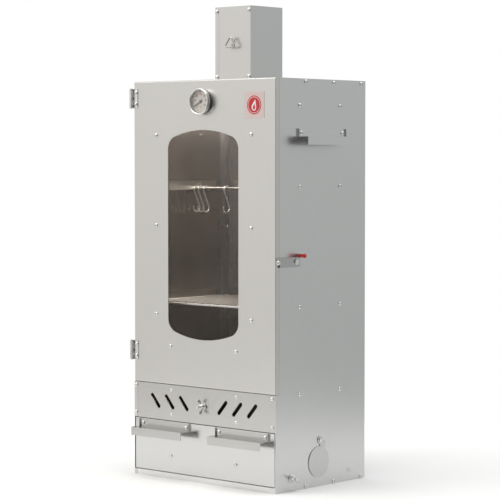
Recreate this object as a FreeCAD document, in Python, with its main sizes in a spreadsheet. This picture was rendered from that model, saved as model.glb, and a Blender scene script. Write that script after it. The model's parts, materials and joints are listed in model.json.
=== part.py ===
"""Electric cabinet smoker: a tall sheet-metal smoking cabinet with a square chimney.

Frame: origin at the centre of the base's underside, +X to the right of a person who faces the
door, +Y to the back, +Z up. Millimetres.
"""
import FreeCAD
import Part
import Sketcher
import math
import os
import re

from FreeCAD import Vector

doc = FreeCAD.newDocument("cabinet_smoker")

# ---------------------------------------------------------------- driving dimensions

SIZES = {
    # casing
    "width": 400, "depth": 285, "height": 835, "gauge": 1.0, "seam": 0.4, "play": 0.3,
    "flange": 14, "bend": 2.4,
    # bands of the front, from the floor up
    "rail_top": 12, "drawer_top": 122, "door_base": 199, "strip": 9, "tab": 18,
    # door
    "door_depth": 10.5, "window_width": 199, "window_base": 298, "window_top": 732,
    "window_arc": 250, "window_corner": 28, "glass": 3, "glass_lap": 12,
    "retainer_side": 146, "retainer_base": 266, "retainer_top": 748,
    "badge_x": 143, "badge_z": 781, "badge_side": 53, "badge_sheet": 0.6,
    # screws
    "shank": 2, "hole": 2.2, "head": 4, "head_height": 1.0, "dome": 2.4, "dome_height": 1.0,
    "reach": 6, "short_reach": 3, "edge_reach": 4, "tray_reach": 7, "clamp_reach": 10,
    "nut": 3.6, "nut_height": 3, "glass_screw_x": 134, "glass_screw_top": 722,
    "glass_screw_middle": 533, "glass_screw_low": 346, "base_screw_x": 93, "base_screw_z": 280,
    # thermometer
    "dial_z": 790, "dial_stand": 4, "dial_depth": 10, "case_radius": 26, "bezel_radius": 27.5,
    "bezel_height": 3, "lens_radius": 24.6, "lens": 1.5, "dial_radius": 25, "spindle": 1,
    "pointer_length": 18, "pointer_width": 1.6, "pointer_sheet": 0.8, "pointer_rest": 150,
    "boss": 2.6, "probe": 3, "probe_length": 46, "shoulder": 6,
    # hinges
    "hinge_high": 800, "hinge_low": 266, "hinge_height": 40, "barrel": 4, "pin": 2,
    "leaf": 1.2, "leaf_reach": 16, "frame_leaf_reach": 27, "knuckle_gap": 0.4,
    "hinge_screw": 12,
    # latch
    "latch_z": 465, "latch_pivot": -82.5, "stud_y": -138, "latch_stand": 2, "latch_sheet": 1.2,
    "latch_half": 10, "stud": 2.5, "stud_head": 6, "latch_tip": -142, "latch_tail": -71,
    "notch_back": -133, "wedge_front": -126, "wedge_back": -81, "wing_out": 9, "grip": 4.5,
    "grip_length": 18.5, "grip_y": -75, "grip_z": 477.5, "tang": 2.4,
    # vent
    "vent_z": 162, "slot_length": 38, "slot_width": 8.5, "slot_tilt": 41, "slot_pitch": 41,
    "slot_first": 55, "vent_travel": 12.5, "slider_side": 164, "slider_low": 137.6,
    "slider_high": 184.4, "guide_x": 92, "guide_low": 135, "guide_high": 187,
    "guide_shank": 2, "guide_head": 5.5, "vent_bolt_z": 160, "bolt": 3, "bolt_head": 7,
    "bolt_out": 17,
    # wing nuts
    "nut_base": 9, "nut_washer": 1.2, "hub": 6.2, "hub_top": 4.8, "hub_height": 9,
    "wing_radius": 5.5, "wing_sheet": 2.4, "wing_reach": 11, "wing_rise": 10,
    "vent_nut_spin": 100, "side_nut_spin": 55,
    "side_nut_y": -93.5, "side_nut_z": 26, "left_nut_y": -127, "left_nut_z": 87,
    # drawer
    "drawer_gap": 0.8, "drawer_side_gap": 1.6, "front_depth": 8, "tray_base": 14,
    "tray_top": 36, "tray_back": 98, "tray_side": 195, "tray_hang": 56,
    "tray_hang_side": 110, "drawer_screw_z": 48, "runner_top": 30, "runner_ledge": 12.5,
    "runner_reach": 14, "runner_front": -128, "runner_back": 110, "pan_side": 120,
    "pan_front": -110, "pan_back": 60, "pan_height": 18, "pan_corner": 6,
    # handles
    "handle_half": 72.5, "handle_screw": 63, "handle_sheet": 1.2, "handle_out": 28,
    "handle_plate": 17, "handle_lip": 17, "handle_x": 110, "handle_z": 103.5,
    "handle_return": 4.5, "side_handle_z": 717, "side_handle_half": 75, "side_handle_screw": 65,
    # port on the right side
    "port_y": -8.5, "port_z": 51, "port": 30, "cover": 32, "cover_sheet": 1.2,
    "cover_pivot_y": -4, "cover_pivot_z": 95, "cover_tab": 8,
    # rails on the side walls
    "rail_1": 781, "rail_2": 617, "rail_3": 373, "rail_4": 195, "rail_screw_front": -69,
    "rail_screw_back": 59, "ledge_1": 771, "ledge_2": 606, "ledge_3": 366, "ledge_4": 186,
    "rail_rise": 19, "rail_reach": 12, "rail_front": -112, "rail_back": 112,
    # roof and floor fixings
    "roof_screw_z": 829, "floor_screw_z": 5, "edge_screw_y": 39.5, "edge_screw_pitch": 89,
    "floor_flange": 10, "roof_flange": 14, "roof_front_flange": 20,
    # chimney
    "flue": 50, "flue_height": 155, "flue_strip": 10, "flue_foot": 9, "flue_screw_x": 45,
    "flue_screw_inset": 9, "flue_mouth": 45, "damper_z": 905, "damper_half": 44,
    "damper_shaft": 1.6, "key_out": 10, "key_half": 15, "key_height": 23, "key_bend": 3.5,
    # inside
    "rod": 3, "rod_y": 34, "hook_wire": 1.5, "hook_top": 8, "hook_low": 9.5, "hook_height": 60,
    "grate_side": 186, "grate_depth": 116, "grate_rod": 2.5, "grate_wire": 1.5,
    "grate_brace": 1.8, "grate_wires": 15, "drip_side": 186, "drip_depth": 108, "drip_height": 14,
    # heater
    "box_left": 146, "box_front": -52, "box_back": 26, "box_low": 41, "box_high": 93,
    "inlet_z": 63, "inlet_half": 15, "inlet_tall": 12, "inlet_depth": 22, "inlet_wall": 3,
    "inlet_pin": 2, "element": 4, "element_half": 55, "element_end": 22,
    "element_near": 86, "element_far": -150,
}
HOOK_PLACES = (-184, -172, -156, -96)

sheet = doc.addObject("Spreadsheet::Sheet", "Sizes")
for row, (alias, value) in enumerate(SIZES.items(), start=1):
    sheet.set(f"A{row}", alias.replace("_", " "))
    sheet.set(f"B{row}", str(value))
    sheet.setAlias(f"B{row}", alias)
doc.recompute()

RIGHT, LEFT = "width / 2", "-width / 2"
FRONT, BACK = "-depth / 2", "depth / 2"
WALL_FRONT = "-depth / 2 + door_depth + seam"
INNER_BACK = "depth / 2 - gauge"


def read(alias):
    """A size as a number, read from the sheet."""
    return float(sheet.get(alias))


def formula(text):
    """The text as an expression: each alias gets the sheet's name in front of it."""
    def named(word):
        return "Sizes." + word.group(0) if word.group(0) in SIZES else word.group(0)
    return re.sub(r"[a-z][a-z_0-9]*", named, str(text))


def bind(item, prop, text):
    item.setExpression(prop, formula(text))


# ---------------------------------------------------------------- building blocks

AXES = {
    "x": Vector(1, 0, 0), "-x": Vector(-1, 0, 0),
    "y": Vector(0, 1, 0), "-y": Vector(0, -1, 0),
    "z": Vector(0, 0, 1), "-z": Vector(0, 0, -1),
}


def place(item, at, rotation=None):
    """Puts the item's origin at the point given by three formulas."""
    if rotation is not None:
        item.Placement = FreeCAD.Placement(Vector(), rotation)
    for axis, text in zip("xyz", at):
        bind(item, f"Placement.Base.{axis}", text)
    return item


def block(name, xs, ys, zs):
    """A box between the given (low, high) formulas along each axis."""
    made = doc.addObject("Part::Box", name)
    for prop, (low, high) in zip(("Length", "Width", "Height"), (xs, ys, zs)):
        bind(made, prop, f"({high}) - ({low})")
    return place(made, (xs[0], ys[0], zs[0]))


def bar(name, at, axis, radius, start, end, end_radius=None):
    """A cylinder, or a cone, from start to end along the axis from the point at."""
    kind = "Part::Cylinder" if end_radius is None else "Part::Cone"
    made = doc.addObject(kind, name)
    if end_radius is None:
        bind(made, "Radius", radius)
    else:
        bind(made, "Radius1", radius)
        bind(made, "Radius2", end_radius)
    bind(made, "Height", f"({end}) - ({start})")
    base = list(at)
    along = "xyz".index(axis[-1])
    sign = "-" if axis.startswith("-") else "+"
    base[along] = f"({at[along]}) {sign} ({start})"
    return place(made, base, FreeCAD.Rotation(Vector(0, 0, 1), AXES[axis]))


def turned(name, at, axis, steps):
    """A stack of coaxial steps: (start, end, radius) or (start, end, radius, end radius)."""
    made = [bar(f"{name}_step", at, axis, step[2], step[0], step[1], *step[3:]) for step in steps]
    return fused(name, made)


def fused(name, parts):
    if len(parts) == 1:
        parts[0].Label = name
        return parts[0]
    made = doc.addObject("Part::MultiFuse", name)
    made.Shapes = parts
    made.Refine = True
    return made


def cut(name, base, tools):
    """The base without the tools."""
    made = doc.addObject("Part::Cut", name)
    made.Base = base
    made.Tool = tools[0] if len(tools) == 1 else fused(f"{name}_tools", tools)
    return made


def common(name, parts):
    made = doc.addObject("Part::MultiCommon", name)
    made.Shapes = parts
    return made


def group(name, parts):
    """Separate solids that share one node."""
    made = doc.addObject("Part::Compound", name)
    made.Links = parts
    return made


def outline_body(name, corners, thickness):
    """A flat plate on its body's XY plane: a closed outline, padded by its thickness."""
    body = doc.addObject("PartDesign::Body", name)
    sketch = body.newObject("Sketcher::SketchObject", f"{name}_outline")
    plane = [item for item in body.Origin.OriginFeatures if item.Role == "XY_Plane"][0]
    sketch.AttachmentSupport = [(plane, "")]
    sketch.MapMode = "FlatFace"
    count = len(corners)
    start = [Vector(math.cos(2 * math.pi * turn / count), math.sin(2 * math.pi * turn / count), 0)
             for turn in range(count)]
    for index in range(count):
        sketch.addGeometry(Part.LineSegment(start[index], start[(index + 1) % count]))
    for index in range(count):
        sketch.addConstraint(Sketcher.Constraint("Coincident", index, 2, (index + 1) % count, 1))
    for index, corner in enumerate(corners):
        for kind, text, value in zip(("DistanceX", "DistanceY"), corner, start[index]):
            held = sketch.addConstraint(Sketcher.Constraint(kind, -1, 1, index, 1, value))
            sketch.setExpression(f"Constraints[{held}]", formula(text))
    pad = body.newObject("PartDesign::Pad", f"{name}_pad")
    pad.Profile = sketch
    bind(pad, "Length", thickness)
    return body


def on_side(shape, item, side):
    """True where the face or edge lies in the shape's outermost plane on that side."""
    box, own = shape.BoundBox, item.BoundBox
    axis = side[0].upper()
    limit = getattr(box, f"{axis}Max" if side[1] == "+" else f"{axis}Min")
    near = 1e-4
    low, high = getattr(own, f"{axis}Min"), getattr(own, f"{axis}Max")
    return abs(low - limit) < near and abs(high - limit) < near


def pan(name, lengths, open_sides, bent_edges, bend="bend", wall="gauge"):
    """A bent sheet: a box from the body's origin, rounded and hollowed from the open sides."""
    long, wide, tall = lengths
    body = outline_body(name, ((0, 0), (long, 0), (long, wide), (0, wide)), tall)
    doc.recompute()
    base = body.Tip
    if bent_edges:
        bent = body.newObject("PartDesign::Fillet", f"{name}_bends")
        edges = [f"Edge{number}" for number, edge in enumerate(base.Shape.Edges, start=1)
                 if any(all(on_side(base.Shape, edge, side) for side in pair)
                        for pair in bent_edges)]
        bent.Base = (base, edges)
        bind(bent, "Radius", bend)
        doc.recompute()
        base = bent
    hollow = body.newObject("PartDesign::Thickness", f"{name}_sheet")
    faces = [f"Face{number}" for number, face in enumerate(base.Shape.Faces, start=1)
             if any(on_side(base.Shape, face, side) for side in open_sides)]
    hollow.Base = (base, faces)
    bind(hollow, "Value", wall)
    hollow.Reversed = True
    hollow.Join = 0
    body.Tip = hollow
    doc.recompute()
    return body


def around(face, sides):
    """The edges between one face and each of the sides."""
    return [(face, side) for side in sides]


def wire_form(name, points, radius, bend, closed=False):
    """A round wire bent along the points, with an arc at each corner."""
    count = len(points)
    edges = []
    inner = range(count) if closed else range(1, count - 1)
    starts, ends = {}, {}
    for index in inner:
        before, here, after = points[index - 1], points[index], points[(index + 1) % count]
        back = (before - here).normalize()
        ahead = (after - here).normalize()
        half = back.getAngle(ahead) / 2
        trim = bend / math.tan(half)
        middle = (back + ahead).normalize() * (bend / math.sin(half) - bend)
        starts[index] = here + back * trim
        ends[index] = here + ahead * trim
        edges.append((index, Part.Arc(starts[index], here + middle, ends[index]).toShape()))
    path = []
    arcs = dict(edges)
    for index in range(count if closed else count - 1):
        following = (index + 1) % count
        if index in arcs:
            path.append(arcs[index])
        path.append(Part.LineSegment(ends.get(index, points[index]),
                                     starts.get(following, points[following])).toShape())
    return swept(name, path, radius)


def swept(name, path, radius):
    """A round wire along joined edges."""
    spine = doc.addObject("Part::Feature", f"{name}_path")
    spine.Shape = Part.Wire(Part.__sortEdges__(path))
    first = spine.Shape.OrderedEdges[0]
    start = first.valueAt(first.FirstParameter)
    direction = first.tangentAt(first.FirstParameter)
    profile = doc.addObject("Part::Feature", f"{name}_section")
    profile.Shape = Part.Wire(Part.Circle(start, direction, radius).toShape())
    made = doc.addObject("Part::Sweep", name)
    made.Sections = [profile]
    made.Spine = (spine, [f"Edge{number + 1}" for number in range(len(spine.Shape.Edges))])
    made.Solid = True
    made.Frenet = False
    return made


# ---------------------------------------------------------------- nodes and fasteners

nodes = {}
holes = {}
screws = {}


def keep(label, item):
    """Names a finished sub-part; its holes are drilled first."""
    if label in holes:
        item = cut(f"{label}_drilled", item, holes[label])
    item.Label = label
    nodes[label] = item
    return item


def drill(label, at, axis, radius="hole", deep=14, out=6):
    """A hole through the sub-part with that label, from deep below the point to out above it."""
    tool = bar(f"{label}_hole", at, axis, radius, f"-{deep}", out)
    holes.setdefault(label, []).append(tool)


def screw(label, at, axis, through=(), reach="reach", nut_at=None):
    """A pan-head screw whose head bears on the point and looks along the axis."""
    steps = [(f"-({reach})", 0, "shank"), (0, "head_height", "head"),
             ("head_height", "head_height + dome_height", "head", "dome")]
    if nut_at is not None:
        steps.append((f"-({nut_at}) - nut_height", f"-({nut_at})", "nut"))
    screws.setdefault(label, []).append(turned(f"{label}_screw", at, axis, steps))
    for passed in through:
        drill(passed, at, axis)


def edge_screw_places():
    """The three places along Y that the roof and floor screws share."""
    return [f"edge_screw_y + ({step}) * edge_screw_pitch" for step in (-1, 0, 1)]


def side_screws():
    """Screws through both side walls: roof, floor, rails and the carrying handles."""
    for side, wall, axis in ((LEFT, "side_panel_left", "-x"), (RIGHT, "side_panel_right", "x")):
        rails = wall.replace("side_panel", "shelf_rails")
        handle = wall.replace("side_panel", "side_handle")
        for y in edge_screw_places():
            screw("casing_screws", (side, y, "roof_screw_z"), axis, (wall, "roof_panel"))
            screw("casing_screws", (side, y, "floor_screw_z"), axis, (wall, "floor_panel"),
                  "short_reach")
        for level in (1, 2, 3, 4):
            for y in ("rail_screw_front", "rail_screw_back"):
                screw("casing_screws", (side, y, f"rail_{level}"), axis, (wall, rails))
        face = f"{side} + handle_sheet" if axis == "x" else f"{side} - handle_sheet"
        for sign in ("-", "+"):
            at = (face, f"{sign} side_handle_screw", "side_handle_z + handle_plate / 2")
            screw("casing_screws", at, axis, (wall, handle))
        at = (side, "runner_back - 20", "(runner_top + rail_top) / 2 + 2")
        screw("casing_screws", at, axis, (wall, "drawer_runners"), "short_reach")


def back_screws():
    """Screws through the back panel into the side walls' rear flanges."""
    for side, wall in (("-", "side_panel_left"), ("", "side_panel_right")):
        for level in (1, 2, 3, 4):
            at = (f"{side}(width / 2 - flange / 2 - 1)", BACK, f"height * ({level} - 0.5) / 4")
            screw("casing_screws", at, "y", ("back_panel", wall), "edge_reach")


def vent_screws():
    for z in ("drawer_top + 11", "door_base - 8"):
        screw("casing_screws", (f"{LEFT} + strip / 2 + 0.5", FRONT, z), "-y",
              ("side_panel_left", "vent_panel"), "edge_reach")
        screw("casing_screws", (f"{RIGHT} - strip", FRONT, z), "-y",
              ("side_panel_right", "vent_panel"), "edge_reach")


def chimney_screws():
    for side in ("-", ""):
        for z in ("height + flue_screw_inset", "height + flue_height - flue_screw_inset"):
            at = (f"{side}flue_screw_x", "-flue", z)
            screw("casing_screws", at, "-y", ("chimney_shell", "chimney_front"), "short_reach")
        for y in ("-flue / 2", "flue / 2"):
            at = (f"{side}(flue + flue_foot / 2 + 0.5)", y, "height + gauge")
            screw("casing_screws", at, "z", ("chimney_shell", "roof_panel"), "edge_reach")


def hinge_screws():
    """Two screws in each leaf: the door's ride with the door, the frame's with the wall."""
    for level, word in (("hinge_high", "upper"), ("hinge_low", "lower")):
        for sign in ("-", "+"):
            z = f"{level} {sign} hinge_screw"
            leaf = f"hinge_door_leaf_{word}"
            at = (f"{LEFT} + leaf_reach / 2 - 1", f"{FRONT} - leaf", z)
            screw("door_screws", at, "-y", ("door_shell", leaf))
            leaf = f"hinge_frame_leaf_{word}"
            at = (f"{LEFT} - leaf", f"{WALL_FRONT} + 5.5", z)
            screw("casing_screws", at, "-x", ("side_panel_left", leaf))


def glass_screws():
    """Screws through the door's front that clamp the retainer behind the glass."""
    rows = (("glass_screw_x", "glass_screw_top"), ("glass_screw_x", "glass_screw_middle"),
            ("glass_screw_x", "glass_screw_low"), ("base_screw_x", "base_screw_z"))
    for x, z in rows:
        for sign in ("-", ""):
            screw("door_screws", (sign + x, FRONT, z), "-y", ("door_shell", "glass_retainer"),
                  reach="clamp_reach", nut_at="gauge + glass + gauge")


def drawer_screws():
    for x in ("-handle_x", "handle_x"):
        for sign in ("-", "+"):
            handle = "drawer_handle_left" if x.startswith("-") else "drawer_handle_right"
            at = (f"{x} {sign} handle_screw", f"{FRONT} - handle_sheet",
                  "handle_z + handle_plate / 2")
            screw("drawer_screws", at, "-y", ("drawer_front", handle), "tray_reach",
                  nut_at="handle_sheet + gauge")
    for x in ("-guide_x", "guide_x"):
        screw("drawer_screws", (x, FRONT, "drawer_screw_z"), "-y",
              ("drawer_front", "drawer_tray"), "tray_reach", nut_at="gauge + gauge")


# ---------------------------------------------------------------- casing

def side_panel(label, side):
    """A wall with a rear flange, a door-stop flange and a low front that frames the drawer."""
    def xs(low, high):
        """Distances in from the outer face, as a range along X."""
        if side > 0:
            return (f"width / 2 - ({high})", f"width / 2 - ({low})")
        return (f"-width / 2 + ({low})", f"-width / 2 + ({high})")
    top = "height - gauge"
    sheet_pair = (WALL_FRONT, f"{WALL_FRONT} + gauge")
    parts = [
        block(f"{label}_high", xs(0, "gauge"), (WALL_FRONT, INNER_BACK), (0, "height")),
        block(f"{label}_low", xs(0, "gauge"), (FRONT, WALL_FRONT), (0, "door_base - seam")),
        block(f"{label}_rear", xs(0, "flange"), (f"{INNER_BACK} - gauge", INNER_BACK),
              (0, top)),
        block(f"{label}_stop", xs(0, "flange"), sheet_pair, ("door_base + 1", top)),
    ]
    band = ("drawer_top + 1", "door_base - seam")
    if side > 0:
        lap = (f"{FRONT} + gauge", f"{FRONT} + 2 * gauge")
        parts.append(block(f"{label}_tab", xs(0, "tab"), lap, band))
    else:
        face = (FRONT, f"{FRONT} + gauge")
        parts.append(block(f"{label}_strip", xs(0, "strip"), face, band))
        parts.append(block(f"{label}_foot", xs(0, "strip"), face, (0, "rail_top")))
    solid = fused(f"{label}_sheet", parts)
    return solid


def side_panels():
    drill("side_panel_right", (RIGHT, "port_y", "port_z"), "x", "port")
    drill("side_panel_right", (RIGHT, "cover_pivot_y", "cover_pivot_z"), "x")
    drill("side_panel_right", (RIGHT, "side_nut_y", "side_nut_z"), "x", "bolt + 0.2")
    drill("side_panel_left", (LEFT, "left_nut_y", "left_nut_z"), "-x", "bolt + 0.2")
    drill("side_panel_right", (RIGHT, "latch_pivot", "latch_z"), "x", "stud + 0.1")
    keep("side_panel_left", side_panel("side_panel_left", -1))
    keep("side_panel_right", side_panel("side_panel_right", 1))


def back_panel():
    keep("back_panel", block("back_sheet", (LEFT, RIGHT), (INNER_BACK, BACK), (0, "height")))


def roof_panel():
    """A cap between the walls with turned-down edges and the flue's opening."""
    inner = ("-width / 2 + gauge", "width / 2 - gauge")
    clear = ("-width / 2 + flange + 1", "width / 2 - flange - 1")
    below = ("height - roof_flange", "height")
    parts = [
        block("roof_top", inner, (WALL_FRONT, INNER_BACK), ("height - gauge", "height")),
        block("roof_front", clear, (WALL_FRONT, f"{WALL_FRONT} + gauge"),
              ("height - roof_front_flange", "height")),
        block("roof_back", clear, (f"{INNER_BACK} - gauge", INNER_BACK), below),
    ]
    run = (f"{WALL_FRONT} + gauge + 1", f"{INNER_BACK} - gauge - 1")
    parts.append(block("roof_left", (inner[0], f"{inner[0]} + gauge"), run, below))
    parts.append(block("roof_right", (f"{inner[1]} - gauge", inner[1]), run, below))
    opening = block("roof_opening", ("-flue_mouth", "flue_mouth"),
                    ("-flue_mouth", "flue_mouth"), ("height - 5", "height + 5"))
    keep("roof_panel", cut("roof_sheet", fused("roof_folded", parts), [opening]))


def floor_panel():
    """A floor between the walls; its front edge turns up as the rail below the drawer."""
    inner = ("-width / 2 + gauge", "width / 2 - gauge")
    run = (f"{FRONT} + gauge + 1", f"{INNER_BACK} - gauge - 1")
    rise = (0, "floor_flange")
    parts = [
        block("floor_plate", inner, (f"{FRONT} + gauge", INNER_BACK), (0, "gauge")),
        block("floor_front", (f"{LEFT} + strip + seam", inner[1]), (FRONT, f"{FRONT} + gauge"),
              (0, "rail_top")),
        block("floor_left", (inner[0], f"{inner[0]} + gauge"), run, rise),
        block("floor_right", (f"{inner[1]} - gauge", inner[1]), run, rise),
    ]
    corner = block("floor_corner_gap", (f"{LEFT}", f"{LEFT} + flange + 1"),
                   (f"{INNER_BACK} - gauge - 0.2", BACK), (-1, 5))
    other = block("floor_other_gap", (f"{RIGHT} - flange - 1", RIGHT),
                  (f"{INNER_BACK} - gauge - 0.2", BACK), (-1, 5))
    keep("floor_panel", cut("floor_sheet", fused("floor_folded", parts), [corner, other]))


# ---------------------------------------------------------------- vent panel and slider

def slot_tools(name, ys):
    """Six slanted slots, three each side, their tops leaning outwards."""
    made = []
    for side in (-1, 1):
        for step in range(3):
            half = "(slot_length - slot_width) / 2"
            deep = f"({ys[1]}) - ({ys[0]})"
            middle = block(f"{name}_slot", ("-slot_width / 2", "slot_width / 2"),
                           (0, deep), (f"-{half}", half))
            ends = [bar(f"{name}_slot_end", (0, 0, f"{sign}{half}"), "y", "slot_width / 2",
                        0, deep) for sign in ("-", "")]
            slot = fused(f"{name}_slot_{side}_{step}", [middle] + ends)
            place(slot, (f"{side} * (slot_first + {step} * slot_pitch)", ys[0], "vent_z"),
                  FreeCAD.Rotation(Vector(0, 1, 0), side * read("slot_tilt")))
            made.append(slot)
    return made


def vent_panel():
    """The fixed panel: flush face, lapped end behind the left strip, slots and guide holes."""
    band = ("drawer_top + 1", "door_base - seam")
    face = block("vent_face", (f"{LEFT} + strip + seam", f"{RIGHT} - gauge - 0.2"),
                 (FRONT, f"{FRONT} + gauge"), band)
    lap = block("vent_lap", (f"{LEFT} + gauge + 0.2", f"{LEFT} + tab"),
                (f"{FRONT} + gauge", f"{FRONT} + 2 * gauge"), band)
    through = (f"{FRONT} - 2", f"{FRONT} + 6")
    tools = slot_tools("vent_panel", through)
    bolt_way = block("bolt_way", (0, "vent_travel"), through,
                     ("vent_bolt_z - bolt - play", "vent_bolt_z + bolt + play"))
    tools.append(bolt_way)
    for x in ("0", "vent_travel"):
        tools.append(bar("bolt_way_end", (x, through[0], "vent_bolt_z"), "y", "bolt + play",
                         0, 8))
    for x in ("-guide_x", "guide_x"):
        for z in ("guide_low", "guide_high"):
            drill("vent_panel", (x, FRONT, z), "-y", "guide_shank + 0.05")
    keep("vent_panel", cut("vent_sheet", fused("vent_folded", [face, lap]), tools))

    rivets = []
    for x in ("-guide_x", "guide_x"):
        for z in ("guide_low", "guide_high"):
            inner = "gauge + play + gauge + play"
            rivets.append(turned("guide_rivet", (x, FRONT, z), "-y", [
                (0, 0.7, "guide_head / 2 + 0.6", "guide_head / 2 - 0.6"),
                (f"-({inner})", 0, "guide_shank"),
                (f"-({inner}) - 1", f"-({inner})", "guide_head")]))
    keep("vent_guide_rivets", group("guide_rivets", rivets))


def vent_slider():
    """The sliding shutter behind the panel, with its bolt and wing nut."""
    ys = (f"{FRONT} + gauge + play", f"{FRONT} + 2 * gauge + play")
    plate = block("slider_plate", ("-slider_side", "slider_side"), ys,
                  ("slider_low", "slider_high"))
    tools = slot_tools("vent_slider", (f"{FRONT} - 2", f"{FRONT} + 6"))
    drill("vent_slider", (0, FRONT, "vent_bolt_z"), "-y", "bolt + 0.05")
    keep("vent_slider", cut("slider_sheet", plate, tools))
    at = (0, ys[1], "vent_bolt_z")
    reach = "2 * gauge + play + bolt_out"
    keep("vent_bolt", turned("vent_bolt_solid", at, "-y", [
        (-2.5, -1.5, "bolt_head - 2.5", "bolt_head"), (-1.5, 0, "bolt_head"),
        (0, reach, "bolt")]))
    wing_nut("vent_wing_nut", (0, f"{FRONT} - play", "vent_bolt_z"), "-y", "vent_nut_spin")


def wing_nut(label, at, axis, angle):
    """A hub on a washer with two round wings; the angle turns the wings about the axis."""
    hub = turned(f"{label}_hub", (0, 0, 0), "z", [
        (0, "nut_washer", "nut_base"), ("nut_washer", "hub_height", "hub", "hub_top")])
    wings = []
    for sign in (-1, 1):
        rise = block(f"{label}_web", (f"{sign} * wing_reach - wing_radius / 1.3",
                                      f"{sign} * wing_reach + wing_radius / 1.3"),
                     ("-wing_sheet / 2", "wing_sheet / 2"), ("nut_washer + 1", "wing_rise"))
        tip = bar(f"{label}_tip", (f"{sign} * wing_reach", "-wing_sheet / 2", "wing_rise"), "y",
                  "wing_radius", 0, "wing_sheet")
        wings += [rise, tip]
    bore = bar(f"{label}_bore", (0, 0, 0), "z", "bolt + 0.05", -1, "hub_height + 8")
    whole = cut(f"{label}_solid", fused(f"{label}_body", [hub] + wings), [bore])
    turn = FreeCAD.Rotation(Vector(0, 0, 1), AXES[axis])
    spin = FreeCAD.Rotation(Vector(0, 0, 1), read(angle))
    place(whole, at, turn.multiply(spin))
    keep(label, whole)


def side_wing_nuts():
    """Two clamping bolts through the walls, each with a thin head inside and a wing nut."""
    bolts = []
    places = (("right_wing_nut", RIGHT, "side_nut_y", "side_nut_z", "x", "runner_way"),
              ("left_wing_nut", LEFT, "left_nut_y", "left_nut_z", "-x", "wall"))
    for label, side, y, z, axis, seat in places:
        inner = "2 * gauge" if seat == "runner_way" else "gauge"
        bolts.append(turned(f"{label}_bolt", (side, y, z), axis, [
            (f"-({inner}) - 1.2", f"-({inner})", "bolt_head - 1"),
            (f"-({inner})", "bolt_out - 2", "bolt")]))
        sign = "+" if axis == "x" else "-"
        wing_nut(label, (f"{side} {sign} play", y, z), axis, "side_nut_spin")
    drill("drawer_runners", (RIGHT, "side_nut_y", "side_nut_z"), "x", "bolt + 0.2")
    keep("wing_bolts", group("wing_bolt_pair", bolts))


# ---------------------------------------------------------------- door

def window_tool(name, grow, ys):
    """The window's outline: straight sides, arched ends and rounded corners."""
    side = f"window_width / 2 + ({grow})"
    box = block(f"{name}_box", (f"-({side})", side), ys,
                (f"window_base - ({grow})", f"window_top + ({grow})"))
    arcs = [bar(f"{name}_arch", (0, ys[0], z), "y", f"window_arc + ({grow})", 0,
                f"({ys[1]}) - ({ys[0]})")
            for z in ("window_top - window_arc", "window_base + window_arc")]
    sharp = common(f"{name}_sharp", [box] + arcs)
    doc.recompute()
    made = doc.addObject("Part::Fillet", name)
    made.Base = sharp
    radius = read("window_corner")
    width = sharp.Shape.BoundBox
    made.Edges = [
        (number, radius, radius) for number, edge in enumerate(sharp.Shape.Edges, start=1)
        if edge.BoundBox.YLength > width.YLength - 0.01 and edge.BoundBox.XLength < 0.01]
    return made


def door():
    turn = FreeCAD.Rotation(Vector(1, 0, 0), 90)
    sides = ("x-", "x+", "y-", "y+")
    shell = pan("door_pan", (f"width - seam", "height - door_base", "door_depth"),
                ("z-",), around("z+", sides))
    place(shell, (f"{LEFT} + seam", f"{FRONT} + door_depth", "door_base"), turn)
    window = window_tool("door_window", "0", (f"{FRONT} - 5", f"{FRONT} + 5"))
    drill("door_shell", (0, FRONT, "dial_z"), "-y", "probe + 0.1")
    drill("door_shell", (RIGHT, "stud_y", "latch_z"), "x", "stud + 0.02")
    keep("door_shell", cut("door_sheet", shell, [window]))

    seat = (f"{FRONT} + gauge", f"{FRONT} + gauge + glass")
    pane = window_tool("glass_pane", "glass_lap", seat)
    keep("door_glass", pane)
    ring_ys = (f"{FRONT} + gauge", f"{FRONT} + gauge + glass + gauge")
    side = ("-retainer_side", "retainer_side")
    outer = block("retainer_outer", side, ring_ys, ("retainer_base", "retainer_top"))
    hollow = block("retainer_hollow", (f"{side[0]} + gauge", f"{side[1]} - gauge"),
                   (f"{FRONT}", seat[1]), ("retainer_base + gauge", "retainer_top - gauge"))
    sight = window_tool("retainer_window", "3", (f"{FRONT} - 1", f"{FRONT} + 12"))
    keep("glass_retainer", cut("retainer_sheet", outer, [hollow, sight]))

    badge = block("badge", ("badge_x - badge_side / 2", "badge_x + badge_side / 2"),
                  (f"{FRONT} - badge_sheet", FRONT),
                  ("badge_z - badge_side / 2", "badge_z + badge_side / 2"))
    keep("badge_plate", badge)


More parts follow.
